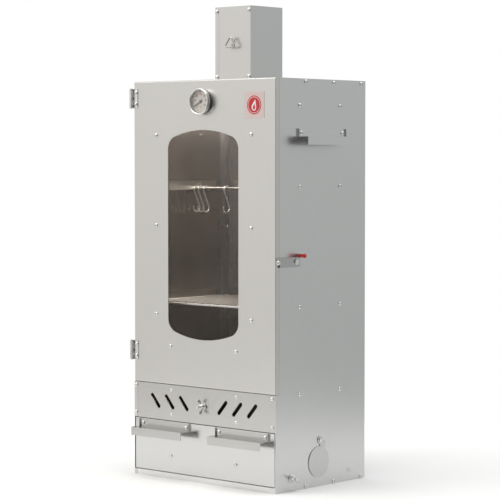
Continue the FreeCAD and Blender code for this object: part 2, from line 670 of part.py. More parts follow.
def thermometer():
    """A dial on the door: rim case, dial disc, lens, pointer on a spindle and a probe."""
    at = (0, FRONT, "dial_z")
    back, front = "dial_stand", "dial_stand + dial_depth"
    body = turned("case_body", at, "-y", [
        (back, f"{front} - bezel_height", "case_radius"),
        (f"{front} - bezel_height", f"{front} - 0.8", "bezel_radius"),
        (f"{front} - 0.8", front, "bezel_radius", "bezel_radius - 0.8")])
    cavity = bar("case_cavity", at, "-y", "dial_radius", f"{back} + 1", f"{front} - lens - 1")
    mouth = bar("case_mouth", at, "-y", "lens_radius - 1", back, f"{front} + 1")
    keep_back = bar("case_back", at, "-y", "case_radius - 0.5", back, f"{back} + 1")
    rim = cut("case_rim", body, [cavity, mouth, bar(
        "case_seat", at, "-y", "lens_radius + 0.02", f"{front} - lens - 1", f"{front} - 1")])
    closed = fused("case_closed", [rim, keep_back])
    drill("thermometer_case", at, "-y", "probe")
    keep("thermometer_case", closed)
    disc = bar("dial_disc", at, "-y", "dial_radius", f"{back} + 1", f"{back} + 1.6")
    drill("thermometer_dial", at, "-y", "spindle + 0.02", deep=0)
    keep("thermometer_dial", disc)
    keep("thermometer_lens", bar("lens_disc", at, "-y", "lens_radius", f"{front} - lens - 1",
                                 f"{front} - 1"))
    keep("thermometer_probe", turned("probe_solid", at, "-y", [
        ("-probe_length", f"{back} + 1", "probe"), (0.02, back, "shoulder"),
        ("-gauge - 4", "-gauge", "shoulder"), (f"{back} + 1", f"{back} + 4.6", "spindle")]))
    lift = "dial_stand + 2.4"
    sheet_ys = ("-pointer_sheet", 0)
    needle = block("needle", (0, "pointer_length"), sheet_ys,
                   ("-pointer_width / 2", "pointer_width / 2"))
    tail = block("needle_tail", ("-pointer_length / 3", 0), sheet_ys,
                 ("-pointer_width / 1.4", "pointer_width / 1.4"))
    hub = bar("needle_hub", (0, 0, 0), "-y", "boss", 0, "pointer_sheet + 0.6")
    bore = bar("needle_bore", (0, 0, 0), "-y", "spindle + 0.05", -1, 4)
    pointer = cut("pointer_solid", fused("pointer_body", [needle, tail, hub]), [bore])
    place(pointer, (0, f"{FRONT} - ({lift})", "dial_z"),
          FreeCAD.Rotation(Vector(0, 1, 0), read("pointer_rest")))
    keep("thermometer_pointer", pointer)


def hinges():
    """Five-knuckle butt hinges; the pin's axis stands clear of the front left corner."""
    axis_x, axis_y = f"{LEFT} - barrel", f"{FRONT} - barrel"
    pins = []
    for level, word in (("hinge_high", "upper"), ("hinge_low", "lower")):
        low = f"{level} - hinge_height / 2"
        knuckle = "hinge_height / 5"
        door_zs, frame_zs = [], []
        for number in range(5):
            trim_low = "0" if number == 0 else "knuckle_gap / 2"
            trim_high = "0" if number == 4 else "knuckle_gap / 2"
            band = (f"{low} + {number} * {knuckle} + {trim_low}",
                    f"{low} + {number + 1} * {knuckle} - {trim_high}")
            (door_zs if number % 2 else frame_zs).append(band)
        whole = (low, f"{level} + hinge_height / 2")

        leaf_y = (f"{FRONT} - leaf", FRONT)
        parts = [block("door_leaf", (f"{LEFT} + seam + 1", f"{LEFT} + leaf_reach - barrel"),
                       leaf_y, whole)]
        for band in door_zs:
            parts.append(block("door_tab", (axis_x, f"{LEFT} + leaf_reach - barrel"),
                               leaf_y, band))
            parts.append(bar("door_knuckle", (axis_x, axis_y, band[0]), "z", "barrel", 0,
                             f"({band[1]}) - ({band[0]})"))
        bore = bar("door_bore", (axis_x, axis_y, low), "z", "pin + 0.05", -1,
                   "hinge_height + 1")
        keep(f"hinge_door_leaf_{word}",
             cut("door_leaf_solid", fused("door_leaf_body", parts), [bore]))

        leaf_x = (f"{LEFT} - leaf", LEFT)
        parts = [block("frame_leaf", leaf_x, (f"{FRONT} + 1", f"{axis_y} + frame_leaf_reach"),
                       whole)]
        for band in frame_zs:
            parts.append(block("frame_tab", leaf_x, (axis_y, f"{axis_y} + frame_leaf_reach"),
                               band))
            parts.append(bar("frame_knuckle", (axis_x, axis_y, band[0]), "z", "barrel", 0,
                             f"({band[1]}) - ({band[0]})"))
        bore = bar("frame_bore", (axis_x, axis_y, low), "z", "pin", -1, "hinge_height + 1")
        keep(f"hinge_frame_leaf_{word}",
             cut("frame_leaf_solid", fused("frame_leaf_body", parts), [bore]))

        pins.append(turned("hinge_pin", (axis_x, axis_y, low), "z", [
            (-1, 0, "pin + 0.8"), (0, "hinge_height", "pin"),
            ("hinge_height", "hinge_height + 1", "pin + 0.8")]))
    keep("hinge_pins", group("hinge_pin_pair", pins))


# ---------------------------------------------------------------- latch

def latch():
    """A side lever: open at its front end, so that it lifts off the door's stud."""
    inner = f"{RIGHT} + latch_stand"
    outer = f"{RIGHT} + latch_stand + latch_sheet"
    strip = block("lever_strip", (inner, outer), ("latch_tip", "latch_tail"),
                  ("latch_z - latch_half", "latch_z + latch_half"))
    notch = block("lever_notch", (f"{inner} - 1", f"{outer} + 1"),
                  ("latch_tip - 1", "notch_back"),
                  ("latch_z - latch_half - 1", "latch_z + stud + seam"))
    wedge = outline_body("lever_wedge", (
        (0, "wedge_front"), ("latch_sheet", "wedge_front"),
        ("latch_sheet + wing_out", "wedge_back - 4"), ("latch_sheet + wing_out", "wedge_back"),
        (0, "wedge_back")), "latch_sheet")
    place(wedge, (inner, 0, "latch_z + latch_half - latch_sheet"))
    riser = block("lever_riser", (inner, outer), ("grip_y - 3.5", "grip_y + 3.5"),
                  ("latch_z + latch_half - 2", "grip_z + 3.5"))
    at = (RIGHT, "grip_y", "grip_z")
    face = "latch_stand + latch_sheet"
    tang = bar("lever_tang", at, "x", "tang", f"{face} - 0.2", f"{face} + grip_length - 1")
    solid = fused("lever_body", [cut("lever_open", strip, [notch]), wedge, riser, tang])
    drill("latch_lever", (RIGHT, "latch_pivot", "latch_z"), "x", "stud + 0.05")
    keep("latch_lever", solid)

    shell = turned("grip_body", at, "x", [
        (face, f"{face} + 1.5", "grip - 1", "grip"),
        (f"{face} + 1.5", f"{face} + grip_length - 2", "grip"),
        (f"{face} + grip_length - 2", f"{face} + grip_length", "grip", "grip - 2")])
    bore = bar("grip_bore", at, "x", "tang", f"{face} - 1", f"{face} + grip_length - 1")
    keep("latch_grip", cut("grip_solid", shell, [bore]))

    pivot = (RIGHT, "latch_pivot", "latch_z")
    keep("latch_pivot_bolt", turned("pivot_solid", pivot, "x", [
        (-4, -1, "stud_head - 1"), (-1, "latch_stand + latch_sheet + play", "stud"),
        (0, "latch_stand - play", "stud_head - 1"),
        ("latch_stand + latch_sheet + play", "latch_stand + latch_sheet + 2.6", "stud_head")]))
    keep("latch_stud", turned("stud_solid", (RIGHT, "stud_y", "latch_z"), "x", [
        (-3, -1, "stud + 0.3"), (-1, "latch_stand + latch_sheet + 0.8", "stud"),
        (0, 1.2, "stud_head - 2.2"),
        ("latch_stand + latch_sheet + 0.8", "latch_stand + latch_sheet + 2.4",
         "stud_head - 1", "stud_head - 2")]))


# ---------------------------------------------------------------- drawer

def handle(name, half):
    """A Z-shaped grip along local X: plate on the face, web out, lip down, turned-out ends."""
    thick = "handle_sheet"
    whole = (f"-{half}", half)
    parts = [
        block(f"{name}_plate", whole, (f"-{thick}", 0), (0, "handle_plate")),
        block(f"{name}_web", whole, ("-handle_out", 0), (0, thick)),
        block(f"{name}_lip", whole, ("-handle_out", f"-handle_out + {thick}"),
              (f"-handle_lip + {thick}", thick)),
        block(f"{name}_left_return", (f"-{half}", f"-{half} + {thick}"),
              ("-handle_return", 0), (0, "handle_plate")),
        block(f"{name}_right_return", (f"{half} - {thick}", half),
              ("-handle_return", 0), (0, "handle_plate")),
    ]
    return fused(name, parts)


def handles():
    places = (("drawer_handle_left", "handle_half", ("-handle_x", FRONT, "handle_z"), 0),
              ("drawer_handle_right", "handle_half", ("handle_x", FRONT, "handle_z"), 0),
              ("side_handle_left", "side_handle_half", (LEFT, 0, "side_handle_z"), -90),
              ("side_handle_right", "side_handle_half", (RIGHT, 0, "side_handle_z"), 90))
    for label, half, at, angle in places:
        made = handle(f"{label}_solid", half)
        keep(label, place(made, at, FreeCAD.Rotation(Vector(0, 0, 1), angle)))


def drawer():
    turn = FreeCAD.Rotation(Vector(1, 0, 0), 90)
    sides = ("x-", "x+", "y-", "y+")
    low, high = "rail_top + drawer_gap", "drawer_top - drawer_gap / 2"
    side = "width / 2 - gauge - drawer_side_gap"
    front = pan("drawer_front_pan", (f"2 * ({side})", f"({high}) - ({low})", "front_depth"),
                ("z-",), around("z+", sides), bend="bend / 1.6")
    place(front, (f"-({side})", f"{FRONT} + front_depth", low), turn)
    keep("drawer_front", front)

    tray = pan("tray_pan", ("2 * tray_side", f"tray_back - ({FRONT} + gauge)",
                            "tray_top - tray_base"),
               ("z+",), around("z-", sides), bend="bend")
    place(tray, ("-tray_side", f"{FRONT} + gauge", "tray_base"))
    hang = block("tray_hang", ("-tray_hang_side", "tray_hang_side"),
                 (f"{FRONT} + gauge", f"{FRONT} + 2 * gauge"), ("tray_top - 6", "tray_hang"))
    keep("drawer_tray", fused("tray_folded", [tray, hang]))

    chips = pan("chip_pan_body", ("2 * pan_side", "pan_back - pan_front", "pan_height"),
                ("z+",), around("z-", sides) + [("x-", "y-"), ("x-", "y+"), ("x+", "y-"),
                                                ("x+", "y+")], bend="pan_corner")
    place(chips, ("-pan_side", "pan_front", "tray_base + gauge"))
    keep("chip_pan", chips)

    runners = []
    wall = "width / 2 - gauge"
    for sign in (-1, 1):
        def xs(low_in, high_in):
            if sign > 0:
                return (f"{wall} - ({high_in})", f"{wall} - ({low_in})")
            return (f"-({wall}) + ({low_in})", f"-({wall}) + ({high_in})")
        run = ("runner_front", "runner_back")
        runners.append(fused("runner", [
            block("runner_leg", xs(0, "gauge"), run, ("runner_ledge", "runner_top")),
            block("runner_shelf", xs(0, "runner_reach"), run,
                  ("runner_ledge", "runner_ledge + gauge"))]))
    keep("drawer_runners", group("runner_pair", runners))


# ---------------------------------------------------------------- port cover

def port_cover():
    """A disc on a tab that hangs from its pivot screw and swings off the port."""
    at = (f"{RIGHT} + seam", "port_y", "port_z")
    top = (f"{RIGHT} + seam", "cover_pivot_y", "cover_pivot_z")
    disc = bar("cover_disc", at, "x", "cover", 0, "cover_sheet")
    end = bar("cover_end", top, "x", "cover_tab", 0, "cover_sheet")
    lean_y = read("cover_pivot_y") - read("port_y")
    lean_z = read("cover_pivot_z") - read("port_z")
    tab = block("cover_arm", (0, "cover_sheet"), ("-cover_tab", "cover_tab"),
                (0, "sqrt((cover_pivot_y - port_y)^2 + (cover_pivot_z - port_z)^2)"))
    place(tab, at, FreeCAD.Rotation(Vector(1, 0, 0), -math.degrees(math.atan2(lean_y, lean_z))))
    drill("port_cover", top, "x", "shank + 0.05", deep=4)
    keep("port_cover", fused("cover_sheet_solid", [disc, end, tab]))
    keep("port_cover_screw", turned("cover_pivot", (RIGHT, "cover_pivot_y", "cover_pivot_z"),
                                    "x", [(-6, "seam + cover_sheet + play", "shank"),
                                          ("seam + cover_sheet + play",
                                           "seam + cover_sheet + play + 1.2", "head + 0.6"),
                                          ("seam + cover_sheet + play + 1.2",
                                           "seam + cover_sheet + play + 2.2", "head + 0.6",
                                           "dome")]))


# ---------------------------------------------------------------- inside the chamber

def shelf_rails():
    """L-shaped rails on both walls, four rows each."""
    wall = "width / 2 - gauge"
    for label, sign in (("shelf_rails_left", -1), ("shelf_rails_right", 1)):
        rails = []
        for level in (1, 2, 3, 4):
            def xs(reach):
                if sign > 0:
                    return (f"{wall} - {reach}", wall)
                return (f"-({wall})", f"-({wall}) + {reach}")
            run = ("rail_front", "rail_back")
            rails.append(fused(f"{label}_{level}", [
                block("rail_leg", xs("gauge"), run,
                      (f"ledge_{level} - gauge", f"ledge_{level} + rail_rise")),
                block("rail_ledge", xs("rail_reach"), run,
                      (f"ledge_{level} - gauge", f"ledge_{level}"))]))
        keep(label, group(f"{label}_set", rails))


def hanging_rod():
    at = ("-width / 2 + 2 * gauge + 0.2", "rod_y", "ledge_2 + rod")
    keep("hanging_rod", bar("rod_solid", at, "x", "rod", 0, "width - 4 * gauge - 0.4"))


def hook_path():
    """An S of two arcs and the straight between them, in the local YZ plane about the rod."""
    upper, lower = read("hook_top"), read("hook_low")
    rise = read("rod") + read("play") + read("hook_wire") - upper
    drop = read("hook_height") - 2 * read("hook_wire") - upper - lower
    top, bottom = Vector(0, 0, rise), Vector(0, 0, rise - drop)
    lean = math.acos((upper + lower) / drop)

    def on_circle(centre, radius, angle):
        return centre + Vector(0, math.cos(angle), math.sin(angle)) * radius

    leave = -math.pi / 2 - lean
    arrive = math.pi / 2 - lean
    first = math.radians(-15)
    last = math.radians(-200)
    arc_top = Part.Arc(on_circle(top, upper, first), on_circle(top, upper, math.pi / 2),
                       on_circle(top, upper, leave))
    line = Part.LineSegment(on_circle(top, upper, leave), on_circle(bottom, lower, arrive))
    arc_low = Part.Arc(on_circle(bottom, lower, arrive), on_circle(bottom, lower, -math.pi / 2),
                       on_circle(bottom, lower, last))
    return [arc_top.toShape(), line.toShape(), arc_low.toShape()]


def hooks():
    for number, x in enumerate(HOOK_PLACES, start=1):
        made = swept(f"hook_{number}_solid", hook_path(), read("hook_wire"))
        place(made, (x, "rod_y", "ledge_2 + rod"))
        keep(f"s_hook_{number}", made)


def food_grate():
    """A bent rod frame with thinner wires across it, resting on the third pair of rails."""
    side, depth, rod = read("grate_side"), read("grate_depth"), read("grate_rod")
    level = read("ledge_3") + rod
    corners = [Vector(x * side, y * depth, level)
               for x, y in ((-1, -1), (1, -1), (1, 1), (-1, 1))]
    parts = [wire_form("grate_frame", corners, rod, 4 * rod, closed=True)]
    z = "ledge_3 + 2 * grate_rod"
    parts.append(bar("grate_middle_rod", (0, 0, f"{z} - grate_wire - grate_brace"), "x",
                     "grate_brace", "-grate_side", "grate_side"))
    for number in range(int(read("grate_wires"))):
        x = f"-grate_side + 2 * grate_side * ({number} + 1) / (grate_wires + 1)"
        parts.append(bar("grate_cross_wire", (x, 0, z), "y", "grate_wire",
                         "-grate_depth", "grate_depth"))
    keep("food_grate", fused("grate_solid", parts))


def drip_tray():
    sides = ("x-", "x+", "y-", "y+")
    made = pan("drip_tray_body", ("2 * drip_side", "2 * drip_depth", "drip_height"), ("z+",),
               around("z-", sides), bend="bend")
    place(made, ("-drip_side", "-drip_depth", "ledge_4"))
    keep("drip_tray", made)


# ---------------------------------------------------------------- heater

def heater():
    """A hairpin element on a box behind the port; the inlet faces the port."""
    length = "width / 2 - gauge - box_left"
    box = pan("terminal_box_body", (length, "box_back - box_front", "box_high - box_low"),
              ("x+",), around("x-", ("y-", "y+", "z-", "z+")), bend="bend")
    place(box, ("box_left", "box_front", "box_low"))
    for sign in ("-", "+"):
        at = ("box_left", f"port_y {sign} element_end", "inlet_z")
        drill("terminal_box", at, "x", "element + 0.02")
    keep("terminal_box", box)

    inner = "box_left + gauge"
    body = block("inlet_body", (inner, f"{inner} + inlet_depth"),
                 ("port_y - inlet_half", "port_y + inlet_half"),
                 ("inlet_z - inlet_tall", "inlet_z + inlet_tall"))
    cavity = block("inlet_cavity", (f"{inner} + inlet_wall", f"{inner} + inlet_depth + 1"),
                   ("port_y - inlet_half + inlet_wall", "port_y + inlet_half - inlet_wall"),
                   ("inlet_z - inlet_tall + inlet_wall", "inlet_z + inlet_tall - inlet_wall"))
    pins = [block("inlet_blade", (f"{inner} + inlet_wall - 1", f"{inner} + inlet_depth - 5"),
                  (f"port_y + ({y}) - inlet_pin", f"port_y + ({y}) + inlet_pin"),
                  (f"inlet_z + ({z}) - 1", f"inlet_z + ({z}) + 1"))
            for y, z in ((-7, -3), (7, -3), (0, 3))]
    keep("power_inlet", fused("inlet_solid", [cut("inlet_shell", body, [cavity])] + pins))

    half, end, tube = read("element_half"), read("element_end"), read("element")
    middle, z = read("port_y"), read("inlet_z")
    inside = read("box_left") + read("gauge") + 6
    near, far = read("element_near"), read("element_far")
    one_side = [(inside, end), (near + 20, end), (near, half), (far, half)]
    points = [Vector(x, middle - y, z) for x, y in one_side]
    points += [Vector(x, middle + y, z) for x, y in reversed(one_side)]
    keep("heating_element", wire_form("element_tube", points, tube, 3 * tube))


# ---------------------------------------------------------------- chimney and damper

def chimney():
    """Three walls with a narrow front strip and feet; the front panel laps behind the strip."""
    low, high = "height", "height + flue_height"
    zs = (low, high)
    sheet_in = "flue - gauge"
    shell = [
        block("flue_left", ("-flue", f"-({sheet_in})"), ("-flue", "flue"), zs),
        block("flue_right", (sheet_in, "flue"), ("-flue", "flue"), zs),
        block("flue_back", ("-flue", "flue"), (sheet_in, "flue"), zs),
        block("flue_strip_face", ("-flue", "-flue + flue_strip"), ("-flue", f"-({sheet_in})"),
              zs),
        block("flue_tab", ("flue - flue_strip - 4", "flue"),
              (f"-({sheet_in})", f"-({sheet_in}) + gauge"), zs),
        block("flue_foot_left", ("-flue - flue_foot", "-flue"), ("-flue", "flue"),
              (low, f"{low} + gauge")),
        block("flue_foot_right", ("flue", "flue + flue_foot"), ("-flue", "flue"),
              (low, f"{low} + gauge")),
    ]
    shaft_at = (0, 0, "damper_z")
    drill("chimney_shell", shaft_at, "y", "damper_shaft + 0.05", deep=0, out=80)
    drill("chimney_front", shaft_at, "-y", "damper_shaft + 0.05", deep=0, out=80)
    keep("chimney_shell", fused("flue_shell", shell))
    front = fused("flue_front", [
        block("flue_face", ("-flue + flue_strip + seam", "flue - gauge - 0.2"),
              ("-flue", f"-({sheet_in})"), zs),
        block("flue_lap", ("-flue + gauge + 0.2", "-flue + flue_strip + 8"),
              (f"-({sheet_in})", f"-({sheet_in}) + gauge"), zs)])
    keep("chimney_front", front)


def damper():
    """A butterfly plate on a shaft; the shaft's front end is bent into a triangular key."""
    half = read("flue")
    out, z = -half - read("key_out"), read("damper_z")
    key_half, key_height = read("key_half"), read("key_height")
    wire = read("damper_shaft")
    triangle = wire_form("damper_key_loop", [
        Vector(-key_half, out, z), Vector(key_half, out, z), Vector(3, out, z + key_height)],
        wire, read("key_bend"), closed=True)
    shaft = bar("damper_shaft_solid", (0, "-flue - key_out", "damper_z"), "y", "damper_shaft",
                0, "2 * flue + key_out + 4")
    keep("damper_key", fused("damper_key_solid", [triangle, shaft]))
    plate = block("damper_blade", ("damper_shaft", "damper_shaft + gauge"),
                  ("-damper_half", "damper_half"),
                  ("damper_z - damper_half", "damper_z + damper_half"))
    keep("damper_plate", plate)


# ---------------------------------------------------------------- assembly and output

side_screws()
back_screws()
vent_screws()
chimney_screws()
hinge_screws()
glass_screws()
drawer_screws()
side_wing_nuts()
side_panels()
back_panel()
roof_panel()
floor_panel()
vent_panel()
vent_slider()
door()
thermometer()
hinges()
latch()
drawer()
handles()
port_cover()
shelf_rails()
hanging_rod()
hooks()
food_grate()
drip_tray()
heater()
chimney()
damper()
for screw_label, members in screws.items():
    keep(screw_label, group(f"{screw_label}_set", members))

doc.recompute()
bad = [item.Name for item in doc.Objects if {"Invalid", "Error"} & set(item.State)]
assert not bad, f"failed objects: {bad}"
for label, item in nodes.items():
    assert not item.Shape.isNull() and item.Shape.isValid(), label
    print(label, len(item.Shape.Solids), round(item.Shape.Volume))

os.makedirs("parts", exist_ok=True)
for label, item in nodes.items():
    item.Shape.exportStep(f"parts/{label}.step")
print(len(nodes), "sub-parts written")
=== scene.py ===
"""The cabinet smoker's looks: materials, small parts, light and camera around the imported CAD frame.

Everything is in metres, in the frame's own axes: +X to the right of a person who faces the door,
+Y to the back, +Z up. The small parts' places come from the CAD nodes' boxes.
"""
import json
import math

import bmesh
import bpy
from mathutils import Matrix, Vector

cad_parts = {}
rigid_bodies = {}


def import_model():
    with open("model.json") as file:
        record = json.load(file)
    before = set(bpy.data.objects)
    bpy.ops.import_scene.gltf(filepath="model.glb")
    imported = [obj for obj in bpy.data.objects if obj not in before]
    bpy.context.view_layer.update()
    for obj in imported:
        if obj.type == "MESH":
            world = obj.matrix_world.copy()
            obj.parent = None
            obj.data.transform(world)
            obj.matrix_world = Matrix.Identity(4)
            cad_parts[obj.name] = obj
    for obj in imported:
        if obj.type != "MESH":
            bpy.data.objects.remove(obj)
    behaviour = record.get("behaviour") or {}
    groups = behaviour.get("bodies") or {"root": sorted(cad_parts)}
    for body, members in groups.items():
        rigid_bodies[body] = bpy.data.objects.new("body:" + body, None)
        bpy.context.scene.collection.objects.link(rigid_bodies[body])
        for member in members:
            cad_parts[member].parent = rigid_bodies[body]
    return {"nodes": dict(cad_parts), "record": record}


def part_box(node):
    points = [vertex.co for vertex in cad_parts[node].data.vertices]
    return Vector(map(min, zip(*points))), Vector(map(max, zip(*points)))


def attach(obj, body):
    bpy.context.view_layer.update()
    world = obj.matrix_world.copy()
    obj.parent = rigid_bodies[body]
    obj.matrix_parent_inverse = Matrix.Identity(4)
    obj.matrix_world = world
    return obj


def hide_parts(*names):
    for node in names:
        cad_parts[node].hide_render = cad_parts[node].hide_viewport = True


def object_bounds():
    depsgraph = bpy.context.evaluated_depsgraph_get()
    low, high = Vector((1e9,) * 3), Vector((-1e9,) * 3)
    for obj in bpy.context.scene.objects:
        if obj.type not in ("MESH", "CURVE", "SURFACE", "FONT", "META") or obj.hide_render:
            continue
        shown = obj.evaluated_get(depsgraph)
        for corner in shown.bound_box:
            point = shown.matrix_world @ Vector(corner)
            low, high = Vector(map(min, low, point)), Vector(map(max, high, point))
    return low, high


for leftover in list(bpy.data.objects):
    bpy.data.objects.remove(leftover)
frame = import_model()
nodes = frame["nodes"]
cad_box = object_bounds()

MM = 0.001
SMOKE_BROWN = (0.300, 0.225, 0.160, 1.0)


# ---------------------------------------------------------------- material building blocks

class Nodes:
    """A node tree that grows by one call per node."""

    def __init__(self, tree):
        self.tree = tree

    def add(self, kind, inputs=(), **settings):
        """A node with its settings and inputs. An input is a value or another node's output."""
        node = self.tree.nodes.new(kind)
        for name, value in settings.items():
            setattr(node, name, value)
        for socket, value in dict(inputs).items():
            if isinstance(value, bpy.types.NodeSocket):
                self.tree.links.new(value, node.inputs[socket])
            else:
                node.inputs[socket].default_value = value
        return node


class Paint(Nodes):
    """One procedural material. Its calls add nodes and join them to the Principled shader."""

    def __init__(self, name, **sockets):
        self.material = bpy.data.materials.new(name)
        self.material.use_nodes = True
        super().__init__(self.material.node_tree)
        self.shader = self.tree.nodes["Principled BSDF"]
        for socket, value in sockets.items():
            self.shader.inputs[socket.replace("_", " ")].default_value = value
        coordinates = self.add("ShaderNodeTexCoord")
        self.place = coordinates.outputs["Object"]
        self.normal = coordinates.outputs["Normal"]

    def drive(self, socket, output):
        """Feeds the output into the shader's socket."""
        self.tree.links.new(output, self.shader.inputs[socket])

    def noise(self, scale, detail=3.0, stretch=None, rough=0.55, seed=0.0):
        """Noise from 0 to 1. Scale is in waves per metre; stretch multiplies it along each axis."""
        place = self.place
        if stretch is not None or seed:
            place = self.add("ShaderNodeMapping", {
                "Vector": self.place, "Location": (seed, seed * 0.7, seed * 1.3),
                "Scale": stretch or (1, 1, 1)}).outputs["Vector"]
        return self.add("ShaderNodeTexNoise", {
            "Vector": place, "Scale": scale, "Detail": detail, "Roughness": rough}).outputs["Fac"]

    def cells(self, scale):
        """A random value per crystal, from 0 to 1."""
        cell = self.add("ShaderNodeTexVoronoi", {"Vector": self.place, "Scale": scale})
        return self.add("ShaderNodeSeparateColor", {"Color": cell.outputs["Color"]}).outputs[0]

    def span(self, value, low, high, start=0.0, end=1.0):
        """Value, going from start to end, becomes low to high."""
        return self.add("ShaderNodeMapRange", {
            "Value": value, "From Min": start, "From Max": end,
            "To Min": low, "To Max": high}).outputs["Result"]

    def math(self, operation, one, two):
        return self.add("ShaderNodeMath", {0: one, 1: two}, operation=operation).outputs[0]

    def blend(self, share, one, two):
        """A colour between two. Inputs 6 and 7 and output 2 are the node's colour sockets."""
        return self.add("ShaderNodeMix", {0: share, 6: one, 7: two}, data_type="RGBA").outputs[2]

    def bump(self, height, distance, strength=1.0, under=None):
        """Adds relief of that distance in metres, on top of an earlier relief."""
        inputs = {"Height": height, "Distance": distance, "Strength": strength}
        if under is not None:
            inputs["Normal"] = under
        normal = self.add("ShaderNodeBump", inputs).outputs["Normal"]
        self.drive("Normal", normal)
        return normal


def grey(level, warm=0.0):
    """A near-neutral colour. A positive warm share shifts it towards yellow."""
    return (level * (1 + warm), level, level * (1 - 2 * warm), 1.0)


def sheet_metal(name, tone, warm, rough, inward=None, stain=0.0, dull=0.85):
    """Rolled sheet: fine grain, faint crystals, handling marks and a slightly wavy surface.

    The side that faces inward, in the part's own axes, is browned by smoke. Without a direction,
    stain browns every side. The share of bare metal falls to dull where the smoke is thickest.
    """
    paint = Paint(name, Metallic=1.0, Roughness=rough)
    lines = paint.noise(2600, detail=2.0, stretch=(1, 1, 0.02), rough=0.6)
    cloud = paint.noise(5, seed=1.7)
    crystal = paint.cells(150)
    marks = paint.noise(26, detail=4.0, stretch=(1, 1, 0.35), rough=0.6, seed=4.1)
    shade = paint.math("ADD", paint.span(crystal, -0.06, 0.06), paint.span(cloud, -0.25, 0.25))
    shade = paint.math("ADD", shade, paint.span(lines, -0.14, 0.14))
    darker = grey(tone * 0.96, warm * 1.3)
    lighter = grey(tone * 1.03, warm)
    colour = paint.blend(paint.span(shade, 0, 1, -0.5, 0.5), darker, lighter)
    polish = paint.math("ADD", paint.span(lines, -0.04, 0.04),
                        paint.span(marks, -0.015, 0.015, 0.3, 0.7))
    polish = paint.math("ADD", polish, rough)
    if inward or stain:
        soot = paint.noise(7, detail=5.0, stretch=(1, 1, 0.45), rough=0.62, seed=8.3)
        share = paint.span(soot, 0.30, 0.62, 0.35, 0.68)
        if inward:
            inside = paint.add("ShaderNodeVectorMath", {
                0: paint.normal, 1: inward}, operation="DOT_PRODUCT").outputs["Value"]
            share = paint.math("MULTIPLY", share, paint.span(inside, 0, 1, 0.4, 0.8))
        else:
            share = paint.math("MULTIPLY", share, stain)
        colour = paint.blend(share, colour, SMOKE_BROWN)
        polish = paint.math("ADD", polish, paint.span(share, 0, -0.22))
        paint.drive("Metallic", paint.span(share, 1.0, dull))
    paint.drive("Base Color", colour)
    paint.drive("Roughness", polish)
    wavy = paint.bump(paint.noise(3.2, detail=1.0, seed=2.9), 0.12 * MM)
    paint.bump(lines, 0.004 * MM, 0.6, under=wavy)
    return paint.material


def plated(name, tone, warm, rough, scale=900):
    """Zinc-plated or drawn small parts, with scratches of that scale and dull patches."""
    paint = Paint(name, Metallic=1.0, Roughness=rough)
    scratch = paint.noise(scale, stretch=(1, 0.25, 1), rough=0.6)
    patch = paint.noise(120, detail=4.0, seed=3.3)
    paint.drive("Base Color", paint.blend(
        paint.span(patch, 0, 1, 0.3, 0.7), grey(tone * 0.86, warm * 1.5), grey(tone, warm)))
    worn = paint.math("ADD", paint.span(scratch, -0.07, 0.07), paint.span(patch, -0.06, 0.08))
    paint.drive("Roughness", paint.math("ADD", worn, rough))
    paint.bump(scratch, 0.01 * MM, 0.5)
    return paint.material


def make_glass(name, tint, alpha, rough):
    """Thin glass: it darkens what is behind it a little and mirrors what is in front."""
    paint = Paint(name, Base_Color=tint, Alpha=alpha, Roughness=rough, IOR=1.5)
    smear = paint.noise(14, detail=5.0, stretch=(1, 1, 0.5), rough=0.7)
    paint.drive("Roughness", paint.span(smear, rough, rough + 0.10, 0.45, 0.75))
    paint.material.blend_method = "BLEND"
    return paint.material


def enamel(name, colour, rough):
    """Stoved enamel or print: even, with a slight orange peel and small speckles."""
    paint = Paint(name, Roughness=rough, IOR=1.5)
    speck = paint.noise(700)
    dark = tuple(part * 0.86 for part in colour[:3]) + (1.0,)
    paint.drive("Base Color", paint.blend(paint.span(speck, 0, 1, 0.3, 0.7), dark, colour))
    paint.drive("Roughness", paint.span(paint.noise(160), rough - 0.05, rough + 0.08))
    paint.bump(paint.noise(1400, detail=2.0), 0.008 * MM, 0.5)
    return paint.material


def dipped_vinyl(name):
    """Soft red plastic skin: a waxy coat, with darker patches and dull rubs."""
    paint = Paint(name, Roughness=0.32, IOR=1.5, Subsurface_Weight=0.08, Subsurface_Scale=0.002,
                  Coat_Weight=0.35, Coat_Roughness=0.18)
    rub = paint.noise(180, detail=4.0, rough=0.65)
    paint.drive("Base Color", paint.blend(
        paint.span(rub, 0, 1, 0.35, 0.7), (0.42, 0.012, 0.008, 1), (0.62, 0.028, 0.018, 1)))
    paint.drive("Roughness", paint.span(rub, 0.26, 0.46))
    paint.bump(paint.noise(420), 0.05 * MM, 0.6)
    return paint.material


def heater_tube(name):
    """Oxidised heater sheath: dark, with straw and blue heat colours in bands."""
    paint = Paint(name, Metallic=0.85, Roughness=0.45)
    band = paint.noise(22, rough=0.6)
    straw = paint.blend(
        paint.span(band, 0, 1, 0.35, 0.6), (0.10, 0.085, 0.08, 1), (0.26, 0.17, 0.09, 1))
    blue_share = paint.span(paint.noise(40, detail=2.0, seed=5.0), 0, 0.7, 0.5, 0.7)
    paint.drive("Base Color", paint.blend(blue_share, straw, (0.10, 0.11, 0.16, 1)))
    paint.drive("Roughness", paint.span(band, 0.36, 0.6))
    paint.bump(paint.noise(900), 0.02 * MM, 0.6)
    return paint.material


def phenolic(name):
    """Moulded black plastic with a fine matt grain."""
    paint = Paint(name, Roughness=0.55, IOR=1.5)
    paint.drive("Base Color", paint.blend(
        paint.noise(60), (0.012, 0.012, 0.013, 1), (0.030, 0.030, 0.032, 1)))
    paint.drive("Roughness", paint.span(paint.noise(900, detail=2.0), 0.45, 0.68))
    paint.bump(paint.noise(2200, detail=2.0), 0.02 * MM, 0.6)
    return paint.material


